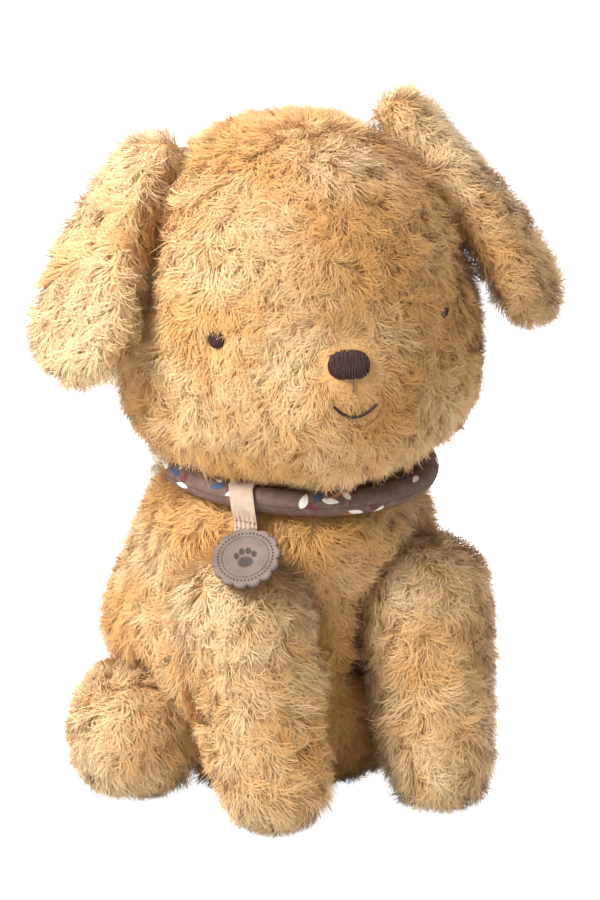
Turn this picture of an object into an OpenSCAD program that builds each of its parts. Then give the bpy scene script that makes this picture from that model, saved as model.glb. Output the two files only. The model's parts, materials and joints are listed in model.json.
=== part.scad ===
// Sitting plush dog with a padded collar and a hanging leather tag.
// The dog faces -Y and sits on z = 0. The origin is the middle of the flat seat.
// Each plush body is a cover, whose wall is backing cloth and pile together, round a stuffing.

/* [Plush] */
// Depth of the pile and its backing cloth
pile = 8; // [5:0.5:10]
// Clearance between two bodies that move against each other
gap = 0.8; // [0.6:0.1:1.2]
// Facets round a soft shape
soft_fn = 24; // [20:4:28]

/* [Torso] */
// Radius of the broad seat end
seat_r = 80; // [78:1:82]
// Height of the middle of the seat end
seat_z = 62; // [60:1:64]
// Radius of the shoulder end
shoulder_r = 71; // [70:1:72]
// How far the shoulders lean forward of the seat
shoulder_lean = 22; // [20:1:24]
// Height of the middle of the shoulder end
shoulder_z = 110; // [108:1:112]

/* [Neck and collar] */
// Forward offset of the neck from the seat
neck_forward = 27; // [26:1:28]
// Height of the neck plane
neck_z = 155; // [154:1:156]
// Forward tilt of the neck, degrees
neck_tilt = 9; // [7:1:10]
// Radius of the collar ring, to the middle of its tube
collar_r = 62; // [61:0.5:63]
// Radius of the collar tube
tube_r = 6.5; // [6:0.25:6.5]
// Thickness of the collar cloth
tube_cloth = 0.8; // [0.6:0.1:1]
// Where the collar tube ends, degrees from the front towards the dog's right
tie_from = 88; // [84:1:92]
// Gap between the tube's two ends, degrees
tie_span = 27; // [24:1:30]

/* [Head] */
// Largest radius of the head
head_r = 84; // [82:1:85]
// Height of the widest level of the head
head_z = 203; // [202:1:204]
// Rise from the widest level to the crown
crown = 113; // [110:1:115]
// Drop from the widest level to the underside
jowl = 55; // [54:1:57]
// How far the head is turned towards the dog's right, degrees
head_turn = 10; // [0:1:12]
// How far the head leans towards the dog's right, degrees
head_lean = 5; // [0:1:6]
// Radius of the muzzle
muzzle_r = 46; // [45:0.5:46]

/* [Ears] */
// Length from the ear's root to the middle of its round end
ear_len = 90; // [88:1:92]
// Radius of the ear's round end
ear_r = 29; // [27:1:30]
// Thickness of the ear, lining included
ear_thick = 17; // [14:1:18]
// How far the ear stands out from hanging, degrees
ear_flare = 38; // [36:1:44]

/* [Legs and tail] */
// Radius of a front leg at the shoulder
fore_top_r = 33; // [31:0.5:33]
// Radius of a front paw
fore_paw_r = 26; // [24:0.5:26]
// Radius of a hind leg at the hip
hip_r = 27; // [26:0.5:27]
// Radius of a hind paw
hind_paw_r = 30; // [28:0.5:30]
// Radius of the tail at its root
tail_r = 13; // [12:0.5:13]

/* [Tag] */
// Radius of the leather disc to the tips of its scallops
tag_r = 15.8; // [15:0.2:16]
// Thickness of the leather
tag_thick = 2; // [1.6:0.2:2]
// Width of the cotton tape
tape_w = 12; // [11:0.5:12]
// Angle of the tag from the front towards the dog's right
tag_at = 46; // [40:1:50]
// How far the tag slopes out from the neck, degrees
tag_slope = 50; // [49:1:52]

/* [Hidden] */
$fn = 48;
left = 1;
right = -1;
big = 400;
bed = 0.5;                             // play between a cover's lining and its stuffing
fur = "burlywood";
fill = "whitesmoke";

// Joint places: the shoulder, hip and tail root, with the paw or tip that each carries
shoulder = [46, -70, 91];
fore_paw = [42, -96, 23];
fore_lift = 40;
hip = [58, 24, 27];
hind_paw = [76, -14, 27];
hind_swing = 45;
tail_root = [0, 70, 38];
tail_tip = [0, 110, 60];
tail_tip_r = 10;
tail_wag = 35;

neck_hole_r = 34;

// Pellet bag in the bottom of the seat
bag_r = 27;
bag_z = 38;
bag_wall = 1.2;

// Face, in the head's own frame
muzzle_mid = [0, -46, -4];
ear_root = [54, 9, 95];
ear_root_r = 8.5;
ear_root_w = 26;
ear_yaw = 58;
ear_lift = 75;
eye_az = 41;
eye_z = 25;
eye_r = 3.8;
eye_sink = 4.5;
nose_z = 12;
nose_sink = 2.5;
nose_half = 6;
nose_reach = 3.5;
nose_deep = 4;
mouth_z = -12;
mouth_r = 12.5;
mouth_arc = 106;
thread_r = 1;
mouth_sink = 2;
stem_z = 2.5;
stem_len = 6;

// Gathered ends of the collar tube
end_step = 0.3;
end_span = 6.5;

// Tag, measured down from the middle of the collar tube
tape_thick = 1;
tape_bore = tube_r + 0.8;
collar_room = tape_bore + tape_thick + gap;  // radius of the groove that the collar lies in
tag_drop = 33.5;
tag_lean = 22;                         // sideways lean of the tag towards the dog's left
tape_end = 22;
scallops = 14;
scallop_steps = 8;
scallop_deep = 1.3;
tag_dots = 40;
stitch_r = 0.35;

// ---- Helpers ----

function about_x(p, c, a) = [p.x,
    c.y + (p.y - c.y) * cos(a) - (p.z - c.z) * sin(a),
    c.z + (p.y - c.y) * sin(a) + (p.z - c.z) * cos(a)];
function about_z(p, c, a) = [
    c.x + (p.x - c.x) * cos(a) - (p.y - c.y) * sin(a),
    c.y + (p.x - c.x) * sin(a) + (p.y - c.y) * cos(a), p.z];
function to_side(p, side) = [side * p.x, p.y, p.z];
// Quarter of a rounded outline, fuller than an ellipse
function full_curve(a, b, from, to, steps) = [for (i = [0:steps])
    let (t = from + (to - from) * i / steps)
    [a * pow(cos(t), 2 / 2.4), b * pow(abs(sin(t)), 2 / 2.4) * sign(t)]];

// One end of a swept space, grown by d beyond its clearance
module room_end(p, r, d) translate(p) sphere(r + gap + d, $fn = facets(soft_fn, d));
module limb(p, rp, q, rq, fn) hull() {
    translate(p) sphere(rp, $fn = fn);
    translate(q) sphere(rq, $fn = fn);
}
module floor_cut(d) translate([-big, -big, d - big]) cube([2 * big, 2 * big, big]);
module neck_frame() translate([0, -neck_forward, neck_z]) rotate([neck_tilt, 0, 0]) children();
module head_frame()
    translate([0, -neck_forward - 7, head_z]) rotate([0, 0, -head_turn]) rotate([0, -head_lean, 0])
        children();
module collar_groove(d) rotate_extrude($fn = facets(48, d))
    translate([collar_r, 0]) circle(collar_room + d, $fn = facets(16, d));
// Hole through both covers where the head is sewn on
module neck_hole() neck_frame() cylinder(r = neck_hole_r, h = 4 * pile, center = true);
// Coarser facets on the hidden inside of a cover
function facets(n, d) = d > 0 ? round(0.6 * n / 4) * 4 : n;

// ---- Torso ----

// Space that a front leg sweeps as it swings forward, grown by d
module fore_room(side, d) hull() {
    room_end(to_side(shoulder, side), fore_top_r, d);
    for (a = [0, fore_lift / 2, fore_lift])
        room_end(to_side(about_x(fore_paw, shoulder, -a), side), fore_paw_r, d);
}

// Space that a hind leg sweeps as it swings out, grown by d
module hind_room(side, d) hull() {
    room_end(to_side(hip, side), hip_r, d);
    for (a = [0, hind_swing / 2, hind_swing])
        room_end(to_side(about_z(hind_paw, hip, a), side), hind_paw_r, d);
}

module tail_room(d) hull() {
    room_end(tail_root, tail_r, d);
    for (a = [-tail_wag, 0, tail_wag]) room_end(about_z(tail_tip, tail_root, a), tail_tip_r, d);
}

// The torso's outline, drawn in by d
module torso_form(d) difference() {
    hull() {
        translate([0, 0, seat_z]) sphere(seat_r - d, $fn = facets(44, d));
        translate([0, -shoulder_lean, shoulder_z]) sphere(shoulder_r - d, $fn = facets(44, d));
    }
    floor_cut(d);
    neck_frame() {
        translate([-big, -big, -gap / 2 - d]) cube([2 * big, 2 * big, big]);
        collar_groove(d);
    }
    for (side = [left, right]) {
        fore_room(side, d);
        hind_room(side, d);
    }
    tail_room(d);
}

module torso_cover() color(fur) difference() {
    torso_form(0);
    torso_form(pile);
    neck_hole();
}

module torso_stuffing() color(fill) difference() {
    torso_form(pile + bed);
    translate([0, 0, bag_z]) sphere(bag_r + bed, $fn = soft_fn);
}

module pellet_bag() color("oldlace") translate([0, 0, bag_z]) difference() {
    sphere(bag_r);
    sphere(bag_r - bag_wall);
}

module pellets() color("lightgray") translate([0, 0, bag_z]) sphere(bag_r - bag_wall - bed);

// ---- Head ----

module head_form(d) {
    lower = full_curve(head_r - d, jowl - d, -90, 0, facets(10, d));
    upper = full_curve(head_r - d, crown - d, 0, 90, facets(16, d));
    rotate_extrude($fn = facets(44, d)) polygon(concat(lower, [for (i = [1:len(upper) - 1]) upper[i]]));
    translate(muzzle_mid) sphere(muzzle_r - d, $fn = facets(36, d));
}

module ear_frame(side)
    mirror([side == left ? 0 : 1, 0, 0]) translate(ear_root) rotate([0, 0, ear_yaw])
        rotate([-ear_flare, 0, 0]) children();

// The ear hanging from its root, grown by g
module ear_pad(g, fn) hull() {
    rotate([0, 90, 0])
        cylinder(r = ear_root_r + g, h = ear_root_w + 2 * g, center = true, $fn = fn);
    translate([0, 0, -ear_len]) rotate([90, 0, 0]) rotate_extrude($fn = fn) {
        square([ear_r - ear_thick / 2, ear_thick / 2 + g]);
        mirror([0, 1]) square([ear_r - ear_thick / 2, ear_thick / 2 + g]);
        translate([ear_r - ear_thick / 2, 0]) circle(ear_thick / 2 + g, $fn = fn / 2);
    }
}

// Space in the head that an ear sweeps as it lifts, grown by d
module ear_room(side, d) ear_frame(side) hull() for (a = [0, ear_lift / 2, ear_lift])
    rotate([-a, 0, 0]) ear_pad(gap + 0.3 + d, facets(soft_fn, d));

// Head with its neck plane, collar groove and ear roots taken out, drawn in by d
module head_body(d) difference() {
    head_frame() head_form(d);
    neck_frame() {
        translate([-big, -big, gap / 2 + d - 2 * big]) cube([2 * big, 2 * big, 2 * big]);
        collar_groove(d);
    }
    head_frame() for (side = [left, right]) ear_room(side, d);
}

module eye_frame(side) rotate([0, 0, side * eye_az]) translate([0, -head_r + eye_sink, eye_z])
    rotate([90, 0, 0]) children();
module muzzle_frame(z, sink) translate(muzzle_mid)
    rotate([-asin((z - muzzle_mid.z) / muzzle_r), 0, 0]) translate([0, -muzzle_r + sink, 0])
        rotate([90, 0, 0]) children();

module stem_frame() muzzle_frame(stem_z, mouth_sink) translate([0, -stem_len / 2, 0])
    rotate([-90, 0, 0]) children();

module nose_form(grow, deep) {
    for (x = [-nose_reach, nose_reach]) translate([x, 0, -deep]) cylinder(r = nose_half + grow, h = deep);
    translate([-nose_reach, -nose_half - grow, -deep])
        cube([2 * nose_reach, 2 * (nose_half + grow), deep]);
}

module mouth_form(r) translate([0, mouth_r, 0]) rotate([0, 0, -90 - mouth_arc / 2])
    rotate_extrude(angle = mouth_arc) translate([mouth_r, 0]) circle(r, $fn = 16);

module head_cover() color(fur) difference() {
    head_body(0);
    head_body(pile);
    neck_hole();
    head_frame() {
        for (side = [left, right]) eye_frame(side) translate([0, 0, -2]) cylinder(r = eye_r + 1, h = 30);
        muzzle_frame(nose_z, nose_sink) translate([0, 0, 20]) nose_form(1, 20 + nose_deep);
        muzzle_frame(mouth_z, mouth_sink) mouth_form(thread_r + 1.2);
        stem_frame() translate([0, 0, -1]) cylinder(r = thread_r + 1.2, h = stem_len + 2);
    }
}

module head_stuffing() color(fill) head_body(pile + bed);

module eye(side) color("#4a2a2c") head_frame() eye_frame(side) translate([0, 0, -1.8])
    cylinder(r = eye_r, h = 1.8);
module nose() color("#3a2226") head_frame() muzzle_frame(nose_z, nose_sink)
    nose_form(0, nose_deep - bed);
module nose_stem() color("#6b4636") head_frame() stem_frame() cylinder(r = 0.6, h = stem_len);
module mouth() color("#4a2a2c") head_frame() muzzle_frame(mouth_z, mouth_sink) mouth_form(thread_r);

// ---- Ears ----

module ear_form(side) head_frame() ear_frame(side) ear_pad(0, soft_fn);

// The outer layer is the half that faces away from the head, the lining the half that faces it
module ear_outer(side) color(fur) difference() {
    ear_form(side);
    head_frame() ear_frame(side) translate([-big, 0, -big]) cube(2 * big);
}

module ear_lining(side) color("tan") difference() {
    ear_form(side);
    head_frame() ear_frame(side) translate([-big, -2 * big, -big]) cube(2 * big);
}

// ---- Legs and tail ----

module front_leg(side, d) difference() {
    limb(to_side(shoulder, side), fore_top_r - d, to_side(fore_paw, side), fore_paw_r - d,
         facets(soft_fn, d));
    floor_cut(d);
}

module hind_leg(side, d) difference() {
    limb(to_side(hip, side), hip_r - d, to_side(hind_paw, side), hind_paw_r - d,
         facets(soft_fn, d));
    floor_cut(d);
}

module front_leg_cover(side) color(fur) difference() {
    front_leg(side, 0);
    front_leg(side, pile);
}
module front_leg_stuffing(side) color(fill) front_leg(side, pile + bed);

module hind_leg_cover(side) color(fur) difference() {
    hind_leg(side, 0);
    hind_leg(side, pile);
}
module hind_leg_stuffing(side) color(fill) hind_leg(side, pile + bed);

module tail_form(d) limb(tail_root, tail_r - d, tail_tip, tail_tip_r - d, facets(soft_fn - 4, d));
module tail_cover() color(fur) difference() {
    tail_form(0);
    tail_form(pile - 2);
}
module tail_stuffing() color(fill) tail_form(pile - 2 + bed);

// ---- Collar ----

// Turns to an angle measured from the dog's front towards its right
module collar_at(a) rotate([0, 0, -a]) translate([0, -collar_r, 0]) children();
module collar_arc(a, span, r) rotate([0, 0, -90 - a]) rotate_extrude(angle = span)
    translate([collar_r, 0]) circle(r);

// Cloth tube whose ends are gathered shut
module collar_tube() color("#9b7c72") neck_frame() {
    difference() {
        collar_arc(tie_from, 360 - tie_span, tube_r);
        collar_arc(tie_from, 360 - tie_span, tube_r - tube_cloth);
    }
    for (a = [tie_from, tie_from + tie_span]) collar_at(a) sphere(tube_r - end_step);
}

module collar_filling() color(fill) neck_frame()
    collar_arc(tie_from - end_span, 360 - tie_span - 2 * end_span, tube_r - tube_cloth - bed);

module collar_tie() color("ivory") neck_frame() {
    collar_arc(tie_from + tie_span - end_span, tie_span - 2 * end_span, 2.2);
    collar_at(tie_from + tie_span / 2) {
        sphere(4.8);
        for (t = [-30, 10, 50]) rotate([t, 0, 0]) rotate([0, 0, t]) translate([0, -2, 0])
            rotate([90, 0, 0]) cylinder(r = 1.6, h = 6.4);
    }
}

// ---- Tag ----

module tag_frame() neck_frame() collar_at(tag_at) rotate([-tag_slope, 0, 0]) children();
module hang_frame() rotate([0, -tag_lean, 0]) children();

module tag_tape() color("#e9d7c7") tag_frame() difference() {
    union() {
        rotate([0, 90, 0]) cylinder(r = tape_bore + tape_thick, h = tape_w, center = true);
        hang_frame() translate([-tape_w / 2, 0, -tape_end])
            cube([tape_w, 2 * tape_thick, tape_end - tape_bore]);
    }
    rotate([0, 90, 0]) cylinder(r = tape_bore, h = 2 * tape_w, center = true);
}

// Two rows of stitches on the tape, each stitch a short round bar
module tag_stitches() color("#b59a94") tag_frame() hang_frame()
    for (z = [-11.5, -15.5], x = [-4.6, -2.3, 0, 2.3, 4.6])
        translate([x, -stitch_r - 0.05, z]) rotate([0, 90, 0])
            cylinder(r = stitch_r, h = 1.7, center = true, $fn = 16);

// Disc whose edge runs in small outward curves
module scalloped_disc() rotate([90, 0, 0]) linear_extrude(tag_thick) polygon([
    for (i = [0:scallops * scallop_steps - 1])
        let (a = i * 360 / (scallops * scallop_steps),
             r = tag_r - scallop_deep * (1 - abs(cos(a * scallops / 2))))
        [r * cos(a), r * sin(a)]]);

// Pricked ring round the edge and a paw print pressed into the middle
module tag_marks() rotate([90, 0, 0]) {
    for (i = [0:tag_dots - 1]) rotate([0, 0, i * 360 / tag_dots]) translate([tag_r - 3.4, 0, -1])
        cylinder(r = 0.4, h = tag_thick + 2, $fn = 16);
    translate([0, -2, tag_thick - 0.5]) cylinder(r = 3, h = 1);
    for (a = [-54, -18, 18, 54]) rotate([0, 0, a]) translate([0, 4.4, tag_thick - 0.5])
        cylinder(r = 1.3, h = 1);
}

module leather_tag() color("#a78d84") tag_frame() hang_frame() translate([0, 0, -tag_drop]) difference() {
    scalloped_disc();
    tag_marks();
}

torso_cover();
torso_stuffing();
pellet_bag();
pellets();
head_cover();
head_stuffing();
eye(left);  // eye_left
eye(right);  // eye_right
nose();
nose_stem();
mouth();
ear_outer(left);  // ear_left_outer
ear_lining(left);  // ear_left_lining
ear_outer(right);  // ear_right_outer
ear_lining(right);  // ear_right_lining
front_leg_cover(left);  // front_leg_left_cover
front_leg_stuffing(left);  // front_leg_left_stuffing
front_leg_cover(right);  // front_leg_right_cover
front_leg_stuffing(right);  // front_leg_right_stuffing
hind_leg_cover(left);  // hind_leg_left_cover
hind_leg_stuffing(left);  // hind_leg_left_stuffing
hind_leg_cover(right);  // hind_leg_right_cover
hind_leg_stuffing(right);  // hind_leg_right_stuffing
tail_cover();
tail_stuffing();
collar_tube();
collar_filling();
collar_tie();
tag_tape();
tag_stitches();
leather_tag();
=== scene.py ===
"""Sitting plush puppy: padded skins with a long tousled pile, embroidered face, collar and tag."""
import json
import math

import bmesh
import bpy
import numpy as np
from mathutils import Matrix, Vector
from mathutils.kdtree import KDTree


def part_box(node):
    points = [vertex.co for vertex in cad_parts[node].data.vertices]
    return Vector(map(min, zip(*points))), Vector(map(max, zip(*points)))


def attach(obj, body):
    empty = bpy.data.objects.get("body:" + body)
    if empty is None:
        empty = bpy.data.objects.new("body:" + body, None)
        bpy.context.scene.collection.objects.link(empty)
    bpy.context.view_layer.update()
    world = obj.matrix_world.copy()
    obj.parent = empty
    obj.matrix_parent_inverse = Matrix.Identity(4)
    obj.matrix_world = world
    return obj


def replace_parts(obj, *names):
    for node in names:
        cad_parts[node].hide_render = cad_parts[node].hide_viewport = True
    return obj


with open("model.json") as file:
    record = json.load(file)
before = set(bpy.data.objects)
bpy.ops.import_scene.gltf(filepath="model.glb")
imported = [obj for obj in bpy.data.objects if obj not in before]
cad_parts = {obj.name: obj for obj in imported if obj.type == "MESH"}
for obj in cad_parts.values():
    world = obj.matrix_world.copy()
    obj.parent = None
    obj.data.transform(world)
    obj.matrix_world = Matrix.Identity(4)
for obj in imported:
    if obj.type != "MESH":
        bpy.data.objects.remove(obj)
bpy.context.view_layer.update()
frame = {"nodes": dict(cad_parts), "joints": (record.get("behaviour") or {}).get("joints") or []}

MM = 0.001
NODES = frame["nodes"]
JOINTS = {j["name"]: j for j in frame["joints"]}
DOWN = np.array([0.0, 0.0, -1.0])
FORWARD = np.array([0.0, -1.0, 0.0])

# The view that the dog is photographed from
CAMERA_AZIMUTH, CAMERA_ELEVATION = -25, 11.5
CAMERA_DISTANCE = 1.6
CAMERA_LENS = 138
AIM = Vector((0.0, -0.034, 0.159))
# Azimuth, elevation, distance, size and power of each light
LIGHTS = {"key": (-78, 42, 1.3, 0.55, 31), "fill": (30, 20, 1.6, 1.2, 1.2), "top": (100, 62, 1.5, 0.9, 13)}


# ---- Numbers and arrays ----

def unit(v):
    """Vectors scaled to length one."""
    v = np.asarray(v, float)
    return v / np.maximum(np.linalg.norm(v, axis=-1, keepdims=True), 1e-12)


def across(v, n):
    """The part of v that lies in the surface whose normal is n."""
    return v - n * (v * n).sum(-1, keepdims=True)


def smooth_noise(points, size, seed):
    """Smooth noise from -1 to 1 in three channels, with features of about that size."""
    table = np.random.default_rng(seed).uniform(-1, 1, (32, 32, 32, 3))
    q = points / size
    cell = np.floor(q).astype(int)
    f = q - cell
    f = f * f * (3 - 2 * f)
    total = 0
    for corner in np.ndindex(2, 2, 2):
        i = (cell + corner) % 32
        weight = np.prod(np.where(corner, f, 1 - f), axis=1)
        total = total + weight[:, None] * table[i[:, 0], i[:, 1], i[:, 2]]
    return total


def coords(obj):
    """An object's vertices as an array."""
    v = np.empty(len(obj.data.vertices) * 3, np.float32)
    obj.data.vertices.foreach_get("co", v)
    return v.reshape(-1, 3).astype(float)


def set_coords(obj, v):
    """Moves an object's vertices to v."""
    obj.data.vertices.foreach_set("co", np.asarray(v, np.float32).ravel())
    obj.data.update()


# ---- Materials ----

def new_material(name, color, roughness, **values):
    """A Principled material with plain values, and the nodes to build on."""
    m = bpy.data.materials.new(name)
    m.use_nodes = True
    shader = m.node_tree.nodes["Principled BSDF"]
    shader.inputs["Base Color"].default_value = (*color, 1)
    shader.inputs["Roughness"].default_value = roughness
    for key, value in values.items():
        shader.inputs[key.replace("_", " ")].default_value = value
    return m, m.node_tree.nodes, m.node_tree.links, shader


def ramp(nodes, stops):
    """A colour ramp with (place, colour) stops."""
    r = nodes.new("ShaderNodeValToRGB")
    r.color_ramp.elements[0].position = stops[0][0]
    r.color_ramp.elements[0].color = (*stops[0][1], 1)
    r.color_ramp.elements[1].position = stops[-1][0]
    r.color_ramp.elements[1].color = (*stops[-1][1], 1)
    for place, color in stops[1:-1]:
        r.color_ramp.elements.new(place).color = (*color, 1)
    return r


def add_bump(nodes, links, shader, height, distance):
    """Relief from a height socket, distance metres deep."""
    bump = nodes.new("ShaderNodeBump")
    bump.inputs["Distance"].default_value = distance
    links.new(height, bump.inputs["Height"])
    links.new(bump.outputs["Normal"], shader.inputs["Normal"])


def noise_node(nodes, links, scale, detail=2.0):
    """Noise in the object's own space, with about scale features a metre."""
    coordinate = nodes.new("ShaderNodeTexCoord")
    n = nodes.new("ShaderNodeTexNoise")
    n.inputs["Scale"].default_value = scale
    n.inputs["Detail"].default_value = detail
    links.new(coordinate.outputs["Object"], n.inputs["Vector"])
    return n


def mix_color(nodes, links, factor, a, b, blend="MIX"):
    """Mixes two colours, each a value or a socket."""
    m = nodes.new("ShaderNodeMix")
    m.data_type = "RGBA"
    m.blend_type = blend
    for socket, value in zip((m.inputs[0], m.inputs[6], m.inputs[7]), (factor, a, b)):
        if isinstance(value, bpy.types.NodeSocket):
            links.new(value, socket)
        else:
            socket.default_value = value if isinstance(value, float) else (*value, 1)
    return m.outputs[2]


def pile_material(name, warm, cool):
    """Pile colour from root, middle to tip, the darker roots being painted shade deep in the pile; the
    map's second axis runs from warm to cool locks.
    """
    m, nodes, links, shader = new_material(name, warm[1], 0.65)
    shader.inputs["Specular IOR Level"].default_value = 0.25
    shader.inputs["Sheen Weight"].default_value = 0.2
    shader.inputs["Sheen Roughness"].default_value = 0.4
    uv = nodes.new("ShaderNodeUVMap")
    uv.uv_map = "OFBake"
    split = nodes.new("ShaderNodeSeparateXYZ")
    links.new(uv.outputs["UV"], split.inputs["Vector"])
    made = []
    for root, middle, tip in (warm, cool):
        # each lock darkens toward its root: painted shade deep in the pile
        along = ramp(nodes, [(0.0, root), (0.4, middle), (0.7, middle), (1.0, tip)])
        links.new(split.outputs["X"], along.inputs["Fac"])
        made.append(along.outputs["Color"])
    links.new(mix_color(nodes, links, split.outputs["Y"], *made), shader.inputs["Base Color"])
    return m


def skin_material():
    """Knitted backing cloth, seen only between the locks."""
    m, nodes, links, shader = new_material("backing_cloth", (0.62, 0.36, 0.14), 0.9)
    n = noise_node(nodes, links, 90)
    color = ramp(nodes, [(0.3, (0.56, 0.31, 0.115)), (0.7, (0.70, 0.43, 0.18))])
    links.new(n.outputs["Fac"], color.inputs["Fac"])
    links.new(color.outputs["Color"], shader.inputs["Base Color"])
    add_bump(nodes, links, shader, n.outputs["Fac"], 0.0005)
    return m


# darker roots on both ramps: painted shade deep in the pile
PILE = pile_material("plush_pile", ((0.44, 0.215, 0.064), (0.67, 0.36, 0.115), (0.80, 0.51, 0.22)),
                     ((0.56, 0.35, 0.17), (0.78, 0.56, 0.305), (0.92, 0.76, 0.51)))
SKIN = skin_material()


# ---- Skins: the sewn covers under the pile ----

def grid_of(obj):
    """Triangles, their areas and their vertices' normals."""
    mesh = obj.data
    mesh.calc_loop_triangles()
    tris = np.empty(len(mesh.loop_triangles) * 3, np.int32)
    mesh.loop_triangles.foreach_get("vertices", tris)
    tris = tris.reshape(-1, 3)
    v = coords(obj)
    normals = np.empty(len(mesh.vertices) * 3, np.float32)
    mesh.vertices.foreach_get("normal", normals)
    area = np.linalg.norm(np.cross(v[tris[:, 1]] - v[tris[:, 0]], v[tris[:, 2]] - v[tris[:, 0]]), axis=1)
    return v, tris, area / 2, normals.reshape(-1, 3).astype(float)


def apply_modifiers(obj):
    """Leaves the shape that the modifiers make, with no modifier on the piece."""
    made = bpy.data.meshes.new_from_object(obj.evaluated_get(bpy.context.evaluated_depsgraph_get()))
    old = obj.data
    obj.modifiers.clear()
    obj.data = made
    bpy.data.meshes.remove(old)


def smooth_solid(name, nodes, voxel, inset):
    """One even mesh over CAD solids, drawn in by inset, as a start for the cloth."""
    joined = bmesh.new()
    for node in nodes:
        joined.from_mesh(NODES[node].data)
    mesh = bpy.data.meshes.new(name)
    joined.to_mesh(mesh)
    joined.free()
    obj = bpy.data.objects.new(name, mesh)
    bpy.context.scene.collection.objects.link(obj)
    remesh = obj.modifiers.new("even", "REMESH")
    remesh.mode = "VOXEL"
    remesh.voxel_size = voxel
    soften = obj.modifiers.new("soften", "SMOOTH")
    soften.factor = 0.5
    soften.iterations = 6
    apply_modifiers(obj)
    if inset:
        v, _, _, n = grid_of(obj)
        set_coords(obj, v - n * inset)
    return obj


def stuff(skins, caps):
    """Cloth with pressure inside fills every skin at once; no point moves further than its cap."""
    for obj in skins:
        cloth = obj.modifiers.new("cloth", "CLOTH")
        s = cloth.settings
        s.quality = 4
        s.mass = 0.3
        s.tension_stiffness = s.compression_stiffness = s.shear_stiffness = 12
        s.bending_stiffness = 0.4
        s.use_pressure = True
        s.uniform_pressure_force = 4
        s.effector_weights.gravity = 0
        cloth.point_cache.frame_start, cloth.point_cache.frame_end = 1, 20
    rest = [coords(obj) for obj in skins]
    for f in range(1, 21):
        bpy.context.scene.frame_set(f)
    dg = bpy.context.evaluated_depsgraph_get()
    for obj, before, cap in zip(skins, rest, caps):
        moved = np.empty(before.size, np.float32)
        obj.evaluated_get(dg).data.vertices.foreach_get("co", moved)
        step = moved.reshape(-1, 3) - before
        size = np.linalg.norm(step, axis=1, keepdims=True)
        step *= np.minimum(1, cap / np.maximum(size, 1e-9))
        obj.modifiers.clear()
        set_coords(obj, before + step)
    bpy.context.scene.frame_set(1)


def draw_in(obj, plate, below):
    """Thread that is sewn through the cover draws it in, to just below the thread."""
    middle, side, up, out, half = plate
    v = coords(obj)
    q = v - middle
    near = np.hypot(q @ side / (half[0] + 4 * MM), q @ up / (half[1] + 4 * MM))
    rise = np.clip((near - 0.7) / 1.3, 0, 1)
    level = half[2] - below + 12 * MM * rise * rise * (3 - 2 * rise)
    over = np.where(q @ out > -20 * MM, (q @ out - level).clip(0), 0) * (near < 2)
    set_coords(obj, v - out * over[:, None])


def finish_skin(obj, body, nodes):
    """Backing cloth on a skin, which rides on its body and stands for the nodes."""
    obj.data.polygons.foreach_set("use_smooth", np.ones(len(obj.data.polygons), bool))
    obj.data.materials.clear()
    obj.data.materials.append(SKIN)
    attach(obj, body)
    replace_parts(obj, *nodes)


def face_plate(node):
    """Middle, sideways, upward and outward axes, and half sizes of a flat piece on the face."""
    p = coords(NODES[node])
    n = np.linalg.svd(p - p.mean(0), full_matrices=False)[2][2]
    n = n * np.sign(n @ (p.mean(0) - HEAD))
    up = unit(across(-DOWN, n))
    side = np.cross(up, n)
    q = p @ np.stack([side, up, n], 1)
    middle = (q.min(0) + q.max(0)) / 2 @ np.stack([side, up, n])
    return middle, side, up, n, (q.max(0) - q.min(0)) / 2


HEAD = (np.array(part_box("head_cover")[0]) + np.array(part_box("head_cover")[1])) / 2
NOSE, MOUTH = face_plate("nose"), face_plate("mouth")
EYES = [face_plate("eye_left"), face_plate("eye_right")]

LEGS = ["front_leg_left", "front_leg_right", "hind_leg_left", "hind_leg_right"]
STUFFED = ["torso", "head", *LEGS, "tail"]
EARS = ["ear_left", "ear_right"]
# How far each skin stands out over its stuffing before the cloth fills, in millimetres
SWELL = {"torso": 6.0, "head": 6.5, "tail": 1, "front_leg_left": 6, "front_leg_right": 6,
         "hind_leg_left": 8, "hind_leg_right": 8}
# How far the pile rises over each ear's root, in millimetres
EAR_RIDGE = {"ear_left": 8, "ear_right": 1}
BODY_CAP, EAR_CAP = 4 * MM, 2 * MM
THREAD_DEPTH = 0.3 * MM


def hollow_belly(obj):
    """The belly lies back between the front legs."""
    v = coords(obj)
    low = np.clip((130 * MM - v[:, 2]) / (35 * MM), 0, 1) * np.clip((v[:, 2] - 30 * MM) / (25 * MM), 0, 1)
    ahead = np.clip(-v[:, 1] / (30 * MM), 0, 1) * np.exp(-(v[:, 0] / (26 * MM)) ** 2)
    set_coords(obj, v - FORWARD * (14 * MM * low * ahead)[:, None])


def fold_ear(obj, ear):
    """The sewn ear ends a little short of its solid, and folds over its root before it hangs."""
    v = coords(obj)
    root = np.array(JOINTS[ear + "_lift"]["pos_m"])
    along = unit(v.mean(0) - root)
    reach = (v - root) @ along
    bulge = unit(across(v.mean(0) - HEAD, along))
    fold = 9 * MM * np.sin(math.pi * np.clip((reach / reach.max() + 0.25) / 1.25, 0, 1))
    ridge = EAR_RIDGE[ear] * MM * np.exp(-(reach / (24 * MM)) ** 2)
    set_coords(obj, v - along * (0.08 * reach.clip(0))[:, None] + bulge * fold[:, None]
               - DOWN * ridge[:, None])


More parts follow.
